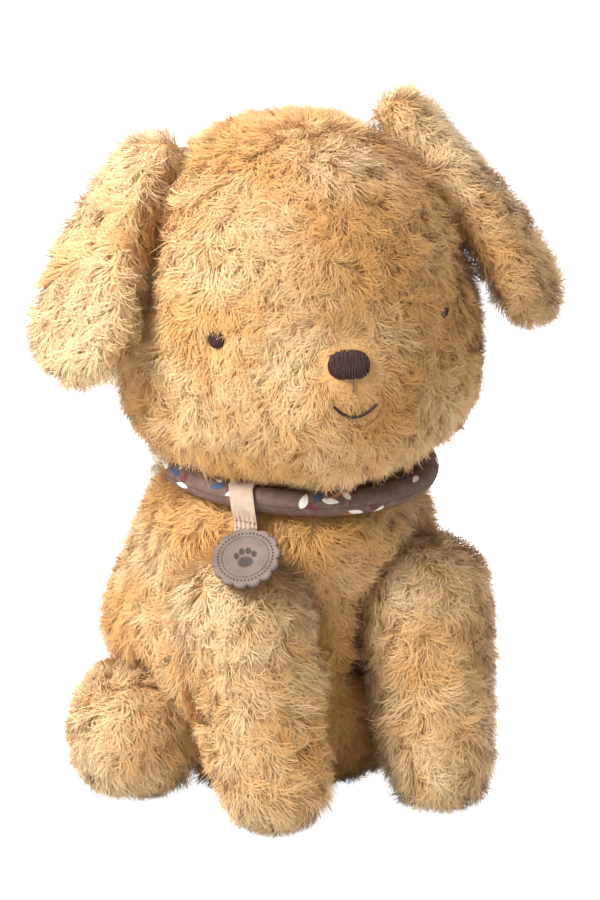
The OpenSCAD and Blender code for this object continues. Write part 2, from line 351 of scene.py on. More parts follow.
def make_skins():
    """Every padded cover, filled with cloth pressure, by body."""
    made = {body: smooth_solid(body + "_skin", [body + "_stuffing"],
                               (2.5 if body == "tail" else 4) * MM, -SWELL[body] * MM)
            for body in STUFFED}
    hollow_belly(made["torso"])
    for ear in EARS:
        made[ear] = smooth_solid(ear + "_skin", [ear + "_outer", ear + "_lining"], 3 * MM, 0.5 * MM)
        fold_ear(made[ear], ear)
    stuff(list(made.values()), [BODY_CAP] * len(STUFFED) + [EAR_CAP] * len(EARS))
    for plate in (*EYES, NOSE):
        draw_in(made["head"], plate, THREAD_DEPTH)
    for body in STUFFED:
        finish_skin(made[body], body, [body + "_cover", body + "_stuffing"])
    for ear in EARS:
        finish_skin(made[ear], ear, [ear + "_outer", ear + "_lining"])
    return made


skins = make_skins()


# ---- Pile ----

# Points along a hair, its width at each but the tip, and how much of its shading is the skin's
RINGS = 5
WIDTHS = np.array([1.0, 1.0, 0.8, 0.5])
SOFTNESS = 0.72


def scatter(obj, spacing, rng):
    """Roots and normals spread evenly over a skin."""
    v, tris, area, normals = grid_of(obj)
    count = int(area.sum() / spacing ** 2)
    edges = np.cumsum(area)
    # one root in each equal share of the area, at a random place in it
    pick = np.searchsorted(edges, (np.arange(count) + rng.random(count)) / count * edges[-1])
    pick = np.minimum(pick, len(tris) - 1)
    a, b = rng.random(count), rng.random(count)
    flip = a + b > 1
    a[flip], b[flip] = 1 - a[flip], 1 - b[flip]
    w = np.stack([1 - a - b, a, b], 1)[:, :, None]
    return (v[tris[pick]] * w).sum(1), unit((normals[tris[pick]] * w).sum(1))


def nearest(points, centres):
    """Index of the nearest centre to each point."""
    tree = KDTree(len(centres))
    for i, c in enumerate(centres):
        tree.insert(c, i)
    tree.balance()
    return np.array([tree.find(p)[1] for p in points])


def locks(obj, spacing, length, comb, cool, rng, seed, tuft=4.6 * MM, mess=0.8, keep=None):
    """Hair paths over a skin, gathered in locks that share a lean, a rise and a curl.

    comb gives the way the pile lies at each root and length its length there. cool gives how
    creamy it is there, from 0, golden, to 1, cream. A lock is tuft wide, and mess is how far it
    strays from the comb. keep leaves out the roots where it's false.
    """
    root, n = scatter(obj, spacing, rng)
    if keep is not None:
        kept = keep(root, n)
        root, n = root[kept], n[kept]
    count = len(root)
    centre_ids = rng.permutation(count)[: max(1, int(count * (spacing / tuft) ** 2))]
    which = centre_ids[nearest(root, root[centre_ids])]
    # the lock's lean: combed, turned by slow swirls and by a turn of its own
    swirl = smooth_noise(root, 30 * MM, seed) + smooth_noise(root, 12 * MM, seed + 1)
    lie = unit(across(comb(root, n), n)) + mess * (swirl + rng.normal(0, 0.35, (count, 3)))
    lean = unit(across(unit(across(lie, n))[which] + rng.normal(0, 0.30, (count, 3)), n))
    side = np.cross(n, lean)
    stray = rng.random(count) < 0.07
    rise = rng.uniform(0.62, 1.05, count)[which] + rng.normal(0, 0.2, count) + 0.25 * stray
    droop = rng.uniform(0.7, 1.35, count)[which]
    curl = rng.normal(0, 1.2, count)[which] + rng.normal(0, 0.5, count)
    size = length(root) * rng.uniform(0.75, 1.15, count)[which] * rng.uniform(0.8, 1.1, count)
    gather = rng.uniform(0.1, 0.38, count)[which] * np.where(stray, 0.2, 1)
    offset = across(root - root[which], n)
    step = 1 / (RINGS - 1)
    paths = np.empty((count, RINGS, 3))
    paths[:, 0] = p = root - n * 0.3 * MM
    for k in range(1, RINGS):
        t = (k - 0.5) * step
        turn, up = (curl * t)[:, None], (rise * (1 - droop * t))[:, None]
        flat = np.cos(turn) * lean + np.sin(turn) * side
        p = p + (np.cos(up) * flat + np.sin(up) * n) * (size * step)[:, None]
        paths[:, k] = p - offset * (gather * (k * step) ** 1.3)[:, None]
    patch = smooth_noise(root, 38 * MM, seed + 2)[:, 0] + 0.5 * smooth_noise(root, 14 * MM, seed + 3)[:, 0]
    tint = cool(root) + 0.6 * patch + rng.normal(0, 0.13, count)[which] + rng.normal(0, 0.05, count)
    return paths, n, np.clip(tint, 0.02, 0.98)


def hair_mesh(name, paths, n, tint, width):
    """Tapered flat hairs as one mesh, with the map that its colours use."""
    count = len(paths)
    along = unit(np.gradient(paths, axis=1))
    flat = unit(np.cross(n[:, None, :], along))
    half = flat[:, :-1] * (WIDTHS[None, :, None] * width[:, None, None] / 2)
    pairs = np.stack([paths[:, :-1] - half, paths[:, :-1] + half], 2).reshape(count, -1, 3)
    verts = np.concatenate([pairs, paths[:, -1:]], 1)
    per = verts.shape[1]
    quads = np.array([[2 * k, 2 * k + 2, 2 * k + 3, 2 * k + 1] for k in range(RINGS - 2)])
    pattern = np.concatenate([quads.ravel(), [per - 3, per - 1, per - 2]])
    loops = (np.arange(count)[:, None] * per + pattern[None, :]).ravel()
    sizes = np.tile([4] * (RINGS - 2) + [3], count)
    mesh = bpy.data.meshes.new(name)
    mesh.vertices.add(count * per)
    mesh.vertices.foreach_set("co", verts.astype(np.float32).ravel())
    mesh.loops.add(len(loops))
    mesh.loops.foreach_set("vertex_index", loops.astype(np.int32))
    mesh.polygons.add(len(sizes))
    mesh.polygons.foreach_set("loop_start", np.concatenate([[0], np.cumsum(sizes)[:-1]]).astype(np.int32))
    mesh.update(calc_edges=True)
    place = np.append(np.repeat(np.arange(RINGS - 1) / (RINGS - 1), 2), 1.0)
    breadth = np.append(np.tile([-0.004, 0.004], RINGS - 1), 0.0)
    uv = np.stack([np.tile(0.02 + 0.96 * place, (count, 1)), tint[:, None] + breadth[None, :]], -1)
    layer = mesh.uv_layers.new(name="OFBake")
    layer.data.foreach_set("uv", uv.reshape(-1, 2)[loops].astype(np.float32).ravel())
    mesh.polygons.foreach_set("use_smooth", np.ones(len(sizes), bool))
    # each hair is shaded partly as the soft surface that it belongs to, partly as itself
    own = unit(np.cross(flat, along))[:, :-1]
    own = own * np.where((own * n[:, None, :]).sum(-1, keepdims=True) < 0, -1, 1)
    shade = np.concatenate([np.repeat(own, 2, axis=1), own[:, -1:]], 1) * (1 - SOFTNESS)
    shade = unit(shade + SOFTNESS * n[:, None, :])
    mesh.normals_split_custom_set_from_vertices(shade.reshape(-1, 3).astype(np.float32))
    obj = bpy.data.objects.new(name, mesh)
    bpy.context.scene.collection.objects.link(obj)
    mesh.materials.append(PILE)
    return obj


def pile(body, parts, length, comb, cool, seed, **style):
    """The pile of one body, made at once and parted into its sewn panels."""
    rng = np.random.default_rng(seed)
    paths, n, tint = locks(skins[body], SPACING, length, comb, cool, rng, seed, **style)
    # hairs that would reach the ground lie along it
    paths[:, :, 2] = np.maximum(paths[:, :, 2], GROUND)
    widths = HAIR * rng.uniform(0.7, 1.3, len(paths))
    for name, inside in parts.items():
        here = inside(paths[:, 0], n)
        obj = hair_mesh(name, paths[here], n[here], tint[here], widths[here])
        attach(obj, body)


NECK = np.array(JOINTS["head_turn"]["pos_m"])
NECK_AXIS = unit(JOINTS["head_turn"]["axis"])
TUBE_AT_TAG = np.array(JOINTS["tag_swing"]["pos_m"])
TAG = coords(NODES["leather_tag"]).mean(0)
TAG_X = unit(JOINTS["tag_swing"]["axis"])
GROUND = 0.4 * MM
# Distance between the hairs' roots, and their width
SPACING = 0.90 * MM
HAIR = 0.34 * MM


def smile(t):
    """Point of the mouth's line, t from -1 to 1."""
    middle, side, up, _, half = MOUTH
    t = np.asarray(t, float)[..., None]
    return middle + side * (t * (half[0] - 1 * MM)) + up * ((2 * t * t - 1) * (half[1] - 1 * MM))


def head_comb(p, n):
    """Away from the nose over the face, and down over the back."""
    near = np.exp(-np.linalg.norm(p - NOSE[0], axis=1) / (24 * MM))[:, None]
    return unit(p - NOSE[0]) * (0.15 + 1.6 * near) + DOWN * 0.8


def head_length(p):
    """Shorter round the nose, the mouth and the eyes."""
    size = 12.5 * MM * np.clip(0.5 + np.linalg.norm(p - NOSE[0], axis=1) / (80 * MM), 0.55, 1)
    for middle, _, _, _, half in [NOSE, *EYES]:
        size = size * np.clip((np.linalg.norm(p - middle, axis=1) - half[0]) / (9 * MM), 0.3, 1)
    line = smile(np.linspace(-1, 1, 9))
    to_line = np.linalg.norm(p[:, None, :] - line[None], axis=2).min(1)
    return size * np.clip(to_line / (6 * MM), 0.55, 1)


def off_face_pieces(p, n):
    """Leaves the backing bare where thread is sewn over it."""
    keep = np.ones(len(p), bool)
    for middle, side, up, out, half in [NOSE, *EYES]:
        q = p - middle
        keep &= (np.abs(q @ side / (half[0] + 0.4 * MM)) ** 2.4
                 + np.abs(q @ up / (half[1] + 0.4 * MM)) ** 2.4 > 1) | (q @ out < -20 * MM)
    return keep


def torso_length(p):
    """Shorter under the tag, which lies on the chest."""
    n = unit(np.cross(TAG_X, TAG - TUBE_AT_TAG))
    n = n * np.sign(n @ (TAG - NECK))
    q = p - TAG
    depth = -(q @ n)
    reach = np.linalg.norm(q + depth[:, None] * n, axis=1)
    near = np.clip((reach - 17 * MM) / (8 * MM), 0, 1)
    return 12.5 * MM * np.clip(np.clip(depth / (14 * MM), 0.35, 1) + near, 0, 1)


def torso_tone_with_belly_shade(p):
    """Golden and darker where the belly lies in between the legs: painted shade in the recess under the
    chest.
    """
    low = np.clip((105 * MM - p[:, 2]) / (30 * MM), 0, 1)
    ahead = np.clip((-p[:, 1] - 5 * MM) / (25 * MM), 0, 1)
    # the low front of the belly takes the darker, golden end of the pile as painted shade
    return 0.28 - 0.8 * low * ahead * (np.abs(p[:, 0]) < 60 * MM)


def fixed(value):
    """The same length or tone at every root."""
    return lambda p: np.full(len(p), value)


def everywhere(p, n):
    """A panel that takes in the whole skin."""
    return np.ones(len(p), bool)


def ear_comb(ear):
    """Along the ear from its root, and outward from its middle."""
    middle = coords(skins[ear]).mean(0)
    way = unit(middle - np.array(JOINTS[ear + "_lift"]["pos_m"]))
    return lambda p, n: way + 0.4 * unit(p - middle)


def in_front(p):
    """Roots on the face's side of the head."""
    return p[:, 1] < HEAD[1] - 25 * MM


pile("head", {
    "face_pile": lambda p, n: in_front(p) & (p[:, 2] < HEAD[2]),
    "brow_pile": lambda p, n: in_front(p) & (p[:, 2] >= HEAD[2]),
    "crown_left_pile": lambda p, n: ~in_front(p) & (p[:, 2] >= HEAD[2]) & (p[:, 0] > HEAD[0]),
    "crown_right_pile": lambda p, n: ~in_front(p) & (p[:, 2] >= HEAD[2]) & (p[:, 0] <= HEAD[0]),
    "nape_left_pile": lambda p, n: ~in_front(p) & (p[:, 2] < HEAD[2]) & (p[:, 0] > HEAD[0]),
    "nape_right_pile": lambda p, n: ~in_front(p) & (p[:, 2] < HEAD[2]) & (p[:, 0] <= HEAD[0]),
}, head_length, head_comb, fixed(0.30), 11, keep=off_face_pieces)
# the torso's pile carries painted shade low between the front legs
pile("torso", {
    "chest_left_pile": lambda p, n: (p[:, 1] < -10 * MM) & (p[:, 0] > 0),
    "chest_right_pile": lambda p, n: (p[:, 1] < -10 * MM) & (p[:, 0] <= 0),
    "back_left_pile": lambda p, n: (p[:, 1] >= -10 * MM) & (p[:, 0] > 0),
    "back_right_pile": lambda p, n: (p[:, 1] >= -10 * MM) & (p[:, 0] <= 0),
}, torso_length, lambda p, n: DOWN + 0 * p, torso_tone_with_belly_shade, 21)
for i, leg in enumerate(LEGS):
    pile(leg, {leg + "_pile": everywhere}, fixed(12.5 * MM),
         lambda p, n: 0.8 * DOWN + 0.5 * FORWARD + 0 * p, fixed(0.74), 31 + 4 * i)
pile("tail", {"tail_pile": everywhere}, fixed(10 * MM),
     lambda p, n: DOWN - 0.8 * FORWARD + 0 * p, fixed(0.4), 51)
for i, ear in enumerate(EARS):
    inward = unit(HEAD - coords(skins[ear]).mean(0))
    pile(ear, {
        ear + "_outer_pile": lambda p, n: n @ inward < 0.2,
        ear + "_lining_pile": lambda p, n: n @ inward >= 0.2,
    }, fixed(12.5 * MM), ear_comb(ear), fixed(0.88), 61 + 4 * i)


# ---- Thread, cloth and leather materials ----

def thread_material(name, dark, light, roughness=0.5):
    """Thread, print or fibre whose colour varies from dark to light in fine noise."""
    m, nodes, links, shader = new_material(name, dark, roughness)
    n = noise_node(nodes, links, 900, 3)
    color = ramp(nodes, [(0.3, dark), (0.72, light)])
    links.new(n.outputs["Fac"], color.inputs["Fac"])
    links.new(color.outputs["Color"], shader.inputs["Base Color"])
    add_bump(nodes, links, shader, n.outputs["Fac"], 0.0002)
    return m


def woven_material(name, dark, light, pitch, roughness=0.85, speckle=None):
    """Plain weave, at pitch metres a thread, along the piece's own cloth map."""
    m, nodes, links, shader = new_material(name, light, roughness)
    uv = nodes.new("ShaderNodeUVMap")
    uv.uv_map = "cloth"
    split = nodes.new("ShaderNodeSeparateXYZ")
    links.new(uv.outputs["UV"], split.inputs["Vector"])
    waves = []
    for axis in ("X", "Y"):
        turn = nodes.new("ShaderNodeMath")
        turn.operation = "MULTIPLY"
        turn.inputs[1].default_value = math.pi / pitch
        links.new(split.outputs[axis], turn.inputs[0])
        wave = nodes.new("ShaderNodeMath")
        wave.operation = "SINE"
        links.new(turn.outputs[0], wave.inputs[0])
        waves.append(wave)
    weave = nodes.new("ShaderNodeMath")
    weave.operation = "MULTIPLY"
    links.new(waves[0].outputs[0], weave.inputs[0])
    links.new(waves[1].outputs[0], weave.inputs[1])
    n = noise_node(nodes, links, 260, 4)
    both = nodes.new("ShaderNodeMath")
    both.operation = "MULTIPLY_ADD"
    both.inputs[1].default_value = 0.22
    links.new(weave.outputs[0], both.inputs[0])
    links.new(n.outputs["Fac"], both.inputs[2])
    stops = [(0.25, dark), (0.75, light)]
    if speckle:
        stops.append((0.95, speckle))
    color = ramp(nodes, stops)
    links.new(both.outputs[0], color.inputs["Fac"])
    links.new(color.outputs["Color"], shader.inputs["Base Color"])
    add_bump(nodes, links, shader, both.outputs[0], 0.0003)
    return m


def leather_material():
    """Smooth-grained leather, darker where it's pressed in, which is painted shade in those hollows, and
    round its cut edge.
    """
    m, nodes, links, shader = new_material("leather", (0.24, 0.17, 0.14), 0.6)
    grain = noise_node(nodes, links, 1500, 4)
    cloudy = noise_node(nodes, links, 110, 2)
    base = ramp(nodes, [(0.3, (0.145, 0.10, 0.079)), (0.7, (0.215, 0.152, 0.122))])
    links.new(cloudy.outputs["Fac"], base.inputs["Fac"])
    fine = mix_color(nodes, links, 0.25, base.outputs["Color"], grain.outputs["Color"], "SOFT_LIGHT")
    # the pressed hollows are mixed toward dark brown: painted shade
    pressed_shade = nodes.new("ShaderNodeAttribute")
    pressed_shade.attribute_name = "pressed"
    links.new(mix_color(nodes, links, pressed_shade.outputs["Fac"], fine, (0.045, 0.025, 0.018)),
              shader.inputs["Base Color"])
    add_bump(nodes, links, shader, grain.outputs["Fac"], 0.00025)
    return m


DARK = thread_material("dark_thread", (0.020, 0.005, 0.004), (0.056, 0.015, 0.011), 0.7)
BROWN = thread_material("brown_thread", (0.15, 0.07, 0.04), (0.28, 0.15, 0.09))
MAUVE = thread_material("mauve_thread", (0.30, 0.19, 0.17), (0.45, 0.31, 0.28))
CREAM = thread_material("cream_thread", (0.72, 0.62, 0.48), (0.90, 0.82, 0.70))
NAVY = thread_material("navy_print", (0.035, 0.06, 0.13), (0.06, 0.09, 0.18), 0.8)
WINE = thread_material("wine_print", (0.10, 0.02, 0.025), (0.17, 0.04, 0.04), 0.8)
RUST = thread_material("rust_print", (0.42, 0.13, 0.05), (0.55, 0.2, 0.09), 0.8)
IVORY = thread_material("ivory_print", (0.74, 0.68, 0.60), (0.84, 0.78, 0.70), 0.8)
FILL = thread_material("polyester", (0.85, 0.85, 0.83), (0.92, 0.92, 0.90))
COTTON = woven_material("printed_cotton", (0.12, 0.066, 0.052), (0.205, 0.118, 0.092), 0.45 * MM,
                        speckle=(0.36, 0.26, 0.22))
TAPE = woven_material("cotton_tape", (0.42, 0.305, 0.225), (0.57, 0.425, 0.32), 0.35 * MM)
LEATHER = leather_material()
for node, material in {"nose": DARK, "eye_left": DARK, "eye_right": DARK, "nose_stem": BROWN,
                       "pellet_bag": FILL, "pellets": FILL}.items():
    NODES[node].data.materials.clear()
    NODES[node].data.materials.append(material)


# ---- Built pieces ----

def piece(name, verts, faces, material, body, uv=None):
    """A mesh piece on a body. uv is one pair a vertex, in metres of cloth."""
    mesh = bpy.data.meshes.new(name)
    mesh.from_pydata([tuple(v) for v in np.asarray(verts)], [], [tuple(int(i) for i in f) for f in faces])
    mesh.polygons.foreach_set("use_smooth", np.ones(len(mesh.polygons), bool))
    mesh.materials.append(material)
    if uv is not None:
        loops = np.empty(len(mesh.loops), np.int32)
        mesh.loops.foreach_get("vertex_index", loops)
        mesh.uv_layers.new(name="cloth").data.foreach_set(
            "uv", np.asarray(uv)[loops].astype(np.float32).ravel())
    mesh.update()
    obj = bpy.data.objects.new(name, mesh)
    bpy.context.scene.collection.objects.link(obj)
    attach(obj, body)
    return obj


def grid_faces(rows, cols, wrap=False, start=0):
    """Quads over a grid of rows by cols vertices; wrap joins the last column to the first."""
    last = cols if wrap else cols - 1
    return [(start + r * cols + c, start + r * cols + (c + 1) % cols,
             start + (r + 1) * cols + (c + 1) % cols, start + (r + 1) * cols + c)
            for r in range(rows - 1) for c in range(last)]


def tubes(name, lines, radii, material, body, sides=7):
    """Round threads, capped, along many lines at once."""
    verts, faces = [], []
    for line, radius in zip(lines, radii):
        line = np.asarray(line, float)
        radius = np.broadcast_to(radius, len(line))
        along = unit(np.gradient(line, axis=0))
        ref = np.eye(3)[np.argmin(np.abs(along).mean(0))]
        a = unit(across(ref + 0 * along, along))
        b = np.cross(along, a)
        turn = np.linspace(0, 2 * math.pi, sides, endpoint=False)
        ring = np.cos(turn)[None, :, None] * a[:, None] + np.sin(turn)[None, :, None] * b[:, None]
        start = len(verts)
        verts.extend((line[:, None] + ring * radius[:, None, None]).reshape(-1, 3))
        faces += grid_faces(len(line), sides, True, start)
        faces.append(tuple(range(start + sides - 1, start - 1, -1)))
        faces.append(tuple(range(len(verts) - sides, len(verts))))
    return piece(name, verts, faces, material, body)


def plied(line, radius, turns, plies=3):
    """The lines of thread plies that wind round a line."""
    along = unit(np.gradient(line, axis=0))
    ref = np.eye(3)[np.argmin(np.abs(along).mean(0))]
    a = unit(across(ref + 0 * along, along))
    b = np.cross(along, a)
    t = np.linspace(0, 1, len(line)) * turns * 2 * math.pi
    return [line + radius * (np.cos(t + k)[:, None] * a + np.sin(t + k)[:, None] * b)
            for k in np.arange(plies) * 2 * math.pi / plies]


def curve_through(points, count):
    """Smooth points along the corners given, ends included."""
    points = np.asarray(points, float)
    ext = np.concatenate([2 * points[:1] - points[1:2], points, 2 * points[-1:] - points[-2:-1]])
    t = np.linspace(0, len(points) - 1 - 1e-9, count)
    i, f = np.floor(t).astype(int), (t % 1)[:, None]
    p0, p1, p2, p3 = ext[i], ext[i + 1], ext[i + 2], ext[i + 3]
    return 0.5 * (2 * p1 + (p2 - p0) * f + (2 * p0 - 5 * p1 + 4 * p2 - p3) * f ** 2
                  + (3 * p1 - p0 - 3 * p2 + p3) * f ** 3)


# ---- Face ----

def satin(name, plate, dome, threads, seed):
    """Upright satin stitches side by side over a sewn shape, crowned by dome in its middle."""
    rng = np.random.default_rng(seed)
    middle, side, up, out, half = plate
    base = middle + out * half[2]
    lines = []
    for u in np.linspace(-1, 1, threads + 2)[1:-1]:
        reach = half[1] * (1 - abs(u) ** 2.5) ** 0.4 * rng.uniform(0.96, 1.05)
        v = np.linspace(-1, 1, 11)
        crown = dome * np.sqrt(np.clip(1 - 0.75 * u * u - 0.8 * v ** 4, 0.02, 1)) - 0.5 * MM * v ** 8
        slant = 0.05 * half[0] * v * rng.uniform(-1, 1)
        lines.append(base + side * (u * half[0] * 0.97 + slant)[:, None] + up * (v * reach)[:, None]
                     + out * (crown + rng.uniform(-0.08, 0.08) * MM)[:, None])
    return tubes(name, lines, [half[0] / threads * 1.25] * threads, DARK, "head", 6)


satin("nose_stitches", NOSE, 1.9 * MM, 26, 71)
satin("eye_left_stitches", EYES[0], 1.6 * MM, 12, 72)
satin("eye_right_stitches", EYES[1], 1.6 * MM, 12, 73)
mouth_line = smile(np.linspace(-1, 1, 61)) + MOUTH[3] * 0.6 * MM
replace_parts(tubes("mouth_stitches", plied(mouth_line, 0.34 * MM, 9), [0.4 * MM] * 3, DARK, "head",
                  8), "mouth")


# ---- Collar ----

AXIS = NECK_AXIS
FRONT = unit(across(FORWARD, AXIS))
LEFTWARD = np.cross(AXIS, FRONT)
FROM_NECK = np.linalg.norm(across(coords(NODES["collar_filling"]) - NECK, AXIS), axis=1)
COLLAR_R = (FROM_NECK.min() + FROM_NECK.max()) / 2
TUBE_R = np.abs((coords(NODES["collar_tube"]) - NECK) @ AXIS).max()
TIE_MIDDLE = coords(NODES["collar_tie"]).mean(0) - NECK
TIE_AT = math.atan2(TIE_MIDDLE @ LEFTWARD, TIE_MIDDLE @ FRONT)
TIE_HALF = math.radians(13)


def on_collar(angle, around, radius):
    """Point at an angle round the neck, and at an angle and radius round the collar's tube."""
    angle, around, radius = np.broadcast_arrays(angle, around, radius)
    out = np.cos(angle)[..., None] * FRONT + np.sin(angle)[..., None] * LEFTWARD
    return (NECK + out * (COLLAR_R + radius * np.cos(around))[..., None]
            + AXIS * (radius * np.sin(around))[..., None])


def collar_radius(angle, around):
    """The stuffed tube: nearly full, with soft wrinkles, and gathered in folds at both ends."""
    p = on_collar(angle, around, TUBE_R)
    soft = smooth_noise(p.reshape(-1, 3), 9 * MM, 81)[:, 0].reshape(angle.shape)
    fold = smooth_noise(p.reshape(-1, 3) * [1, 1, 0.3], 4 * MM, 82)[:, 0].reshape(angle.shape)
    from_tie = np.abs((angle - TIE_AT + math.pi) % (2 * math.pi) - math.pi) - TIE_HALF
    end = np.clip(from_tie * COLLAR_R / (7 * MM), 0, 1)
    gathered = np.sqrt(1 - (1 - end) ** 2) * (1 + 0.14 * np.sin(9 * around) * (1 - end))
    return (TUBE_R - 0.7 * MM) * np.maximum(gathered, 0.12) * (1 + 0.025 * soft + 0.02 * fold)


def collar_cloth():
    """The cotton tube, closed by a small gathered face at each end."""
    rows, cols = 361, 36
    angle = TIE_AT + np.linspace(TIE_HALF, 2 * math.pi - TIE_HALF, rows)[:, None] + np.zeros((1, cols))
    around = np.linspace(0, 2 * math.pi, cols, endpoint=False)[None, :] + np.zeros((rows, 1))
    verts = on_collar(angle, around, collar_radius(angle, around)).reshape(-1, 3)
    uv = np.stack([angle * COLLAR_R, around * TUBE_R], -1).reshape(-1, 2)
    faces = grid_faces(rows, cols, True) + [tuple(range(cols - 1, -1, -1)),
                                            tuple(range((rows - 1) * cols, rows * cols))]
    return piece("collar_cloth", verts, faces, COTTON, "collar", uv)


collar = collar_cloth()
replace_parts(collar, "collar_tube", "collar_filling")


def patch(shape, place, turn, raised=0.07 * MM):
    """A flat printed shape, in metres along and across, laid on the tube at (angle, around)."""
    x, y = shape[:, 0], shape[:, 1]
    along = x * math.cos(turn) - y * math.sin(turn)
    over = x * math.sin(turn) + y * math.cos(turn)
    angle, around = place[0] + along / COLLAR_R, place[1] + over / TUBE_R
    return on_collar(angle, around, collar_radius(angle, around) + raised)


def leaf(length, breadth, steps=9):
    """Rows across a pointed leaf, three points a row."""
    t = np.linspace(0, 1, steps)
    w = breadth / 2 * np.sin(math.pi * t ** 0.8) ** 0.8
    return np.stack([np.stack([t * length, k * w], 1) for k in (-1, 0, 1)], 1).reshape(-1, 2)


def print_shapes(name, shapes, material):
    """One piece from flat shapes of three points a row."""
    verts, faces = [], []
    for points in shapes:
        faces += grid_faces(len(points) // 3, 3, False, len(verts))
        verts.extend(points)
    piece(name, verts, faces, material, "collar")


def print_collar(seed, sprigs=15):
    """Sprigs of leaves on curved stems, and loose petals between them."""
    rng = np.random.default_rng(seed)
    ivory, navy, wine, rust, stems = [], [], [], [], []
    margin, stem_end, stem_rise, stem_wave = 0.2, 17, 2.5, 2.4
    for k in range(sprigs):
        at = TIE_AT + TIE_HALF + margin + (2 * math.pi - 2 * TIE_HALF - 2 * margin) * (k + 0.5) / sprigs
        base = (at + rng.uniform(-0.04, 0.04), rng.uniform(-0.5, 1.0))
        way = rng.uniform(0.2, 1.2) * rng.choice([-1, 1]) + (math.pi if rng.random() < 0.5 else 0)
        stem = np.stack([np.linspace(0, stem_end * MM, 13),
                         stem_rise * MM * np.sin(np.linspace(0, stem_wave, 13))], 1)
        wide = np.stack([stem + [0, d] for d in (-0.28 * MM, 0, 0.28 * MM)], 1).reshape(-1, 2)
        stems.append(patch(wide, base, way, 0.05 * MM))
        for x, turn, group, size in ((3, 0.9, ivory, 8.0), (6, -0.8, wine, 5.5), (10, 0.7, navy, 7.5),
                                     (13, -0.6, ivory, 8.0), (17, 0.0, rust, 5.5)):
            size *= MM * rng.uniform(0.85, 1.15)
            y = stem_rise * math.sin(stem_wave * x / stem_end)
            joint = (base[0] + (x * math.cos(way) - y * math.sin(way)) * MM / COLLAR_R,
                     base[1] + (x * math.sin(way) + y * math.cos(way)) * MM / TUBE_R)
            group.append(patch(leaf(size, size * 0.42), joint, way + turn))
        for _ in range(3):
            spot = (base[0] + rng.uniform(-7, 7) * MM / COLLAR_R, base[1] + rng.uniform(1.5, 3.5))
            ivory.append(patch(leaf(2.0 * MM, 1.5 * MM, 5), spot, rng.uniform(0, 6)))
    print_shapes("collar_leaves_ivory", ivory, IVORY)
    print_shapes("collar_leaves_navy", navy, NAVY)
    print_shapes("collar_leaves_wine", wine, WINE)
    print_shapes("collar_buds_rust", rust, RUST)
    print_shapes("collar_stems", stems, WINE)


print_collar(83)


def tie(seed):
    """Cords from end to end of the tube, a knot on them, and its frayed ends."""
    span = np.linspace(-TIE_HALF * 1.15, TIE_HALF * 1.15, 33)
    middle = on_collar(TIE_AT, 0.0, 1.0 * MM)
    out = unit(middle - NECK)
    sideways = np.cross(AXIS, out)
    cords = plied(on_collar(TIE_AT + span, 0.0, 0.6 * MM * np.sin(np.linspace(0, 9, 33))), 0.9 * MM, 2.5)
    for k in range(4):
        turn = np.linspace(0, 2 * math.pi * 1.2, 25)[:, None] + k * 1.5
        a = unit(sideways * math.cos(k * 0.8) + AXIS * math.sin(k * 0.8))
        b = unit(np.cross(a, out) + 0.25 * out * (k - 1.5))
        cords.append(middle + out * (0.8 * MM * (k % 2))
                     + 3.1 * MM * (np.cos(turn) * unit(out + 0.3 * a) + np.sin(turn) * b))
    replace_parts(tubes("tie_cords", cords, [0.95 * MM] * len(cords), CREAM, "collar", 8),
                "collar_tie")
    rng = np.random.default_rng(seed)
    frays = []
    for k in range(90):
        tail = unit(out * 0.5 + AXIS * (-0.7 if k % 2 else 0.6) + sideways * (0.5 if k % 2 else -0.2))
        way = unit(tail + rng.normal(0, 0.35, 3))
        bend = rng.normal(0, 0.5, 3)
        t = np.linspace(0, 1, 8)[:, None]
        frays.append(middle + tail * 2.2 * MM + rng.normal(0, 0.5 * MM, 3)
                     + way * t * 6.5 * MM * rng.uniform(0.6, 1) + bend * t * t * 1.6 * MM)
    tubes("tie_frayed_ends", frays, [0.13 * MM] * len(frays), CREAM, "collar", 4)


tie(84)


# ---- Tag ----

TAG_OUT = unit(np.cross(TAG_X, TAG - TUBE_AT_TAG))
TAG_OUT = TAG_OUT * np.sign(TAG_OUT @ (TAG - NECK))
TAG_DOWN = unit(across(TAG - TUBE_AT_TAG, TAG_OUT))
TAG_SIDE = np.cross(TAG_OUT, TAG_DOWN) * -1
TAG_AXES = np.stack([TAG_SIDE, TAG_DOWN, TAG_OUT])
TAG_CORNERS = (coords(NODES["leather_tag"]) - TAG) @ TAG_AXES.T
TAG_MIDDLE = TAG + (TAG_CORNERS.min(0) + TAG_CORNERS.max(0)) / 2 @ TAG_AXES
TAG_R = TAG_CORNERS[:, 0].max()
TAG_THICK = TAG_CORNERS[:, 2].max() - TAG_CORNERS[:, 2].min()
# The tape hangs straight down from the tube, and slips sideways to meet the disc
HANG = TAG_DOWN - TAG_X * (TAG_DOWN @ TAG_X)
SLIP = (TAG_DOWN @ TAG_X) / np.linalg.norm(HANG)
HANG = unit(HANG)
TAPE_W = 11.6 * MM
TAPE_HALF_THICK = 0.45 * MM
TAPE_COLS = 33


def tape_path(count):
    """The tape's line, outward and down from the middle of the tube: both ends lie behind the disc."""
    r = TUBE_R + 1.0 * MM
    back = TAG_MIDDLE - TUBE_AT_TAG
    behind = back @ TAG_OUT - TAG_THICK / 2 - 0.6 * MM
    corners = [(behind - 0.9 * MM, 21 * MM), (behind - 0.9 * MM, 15 * MM), (-3.2 * MM, r + 3.2 * MM)]
    for turn in np.radians([215, 180, 145, 110, 75, 40, 5, -28]):
        corners.append((r * math.cos(turn), -r * math.sin(turn)))
    corners += [(3.4 * MM, r + 1.2 * MM), (behind + 0.2 * MM, 13 * MM), (behind + 0.1 * MM, 21 * MM)]
    return curve_through(corners, count)


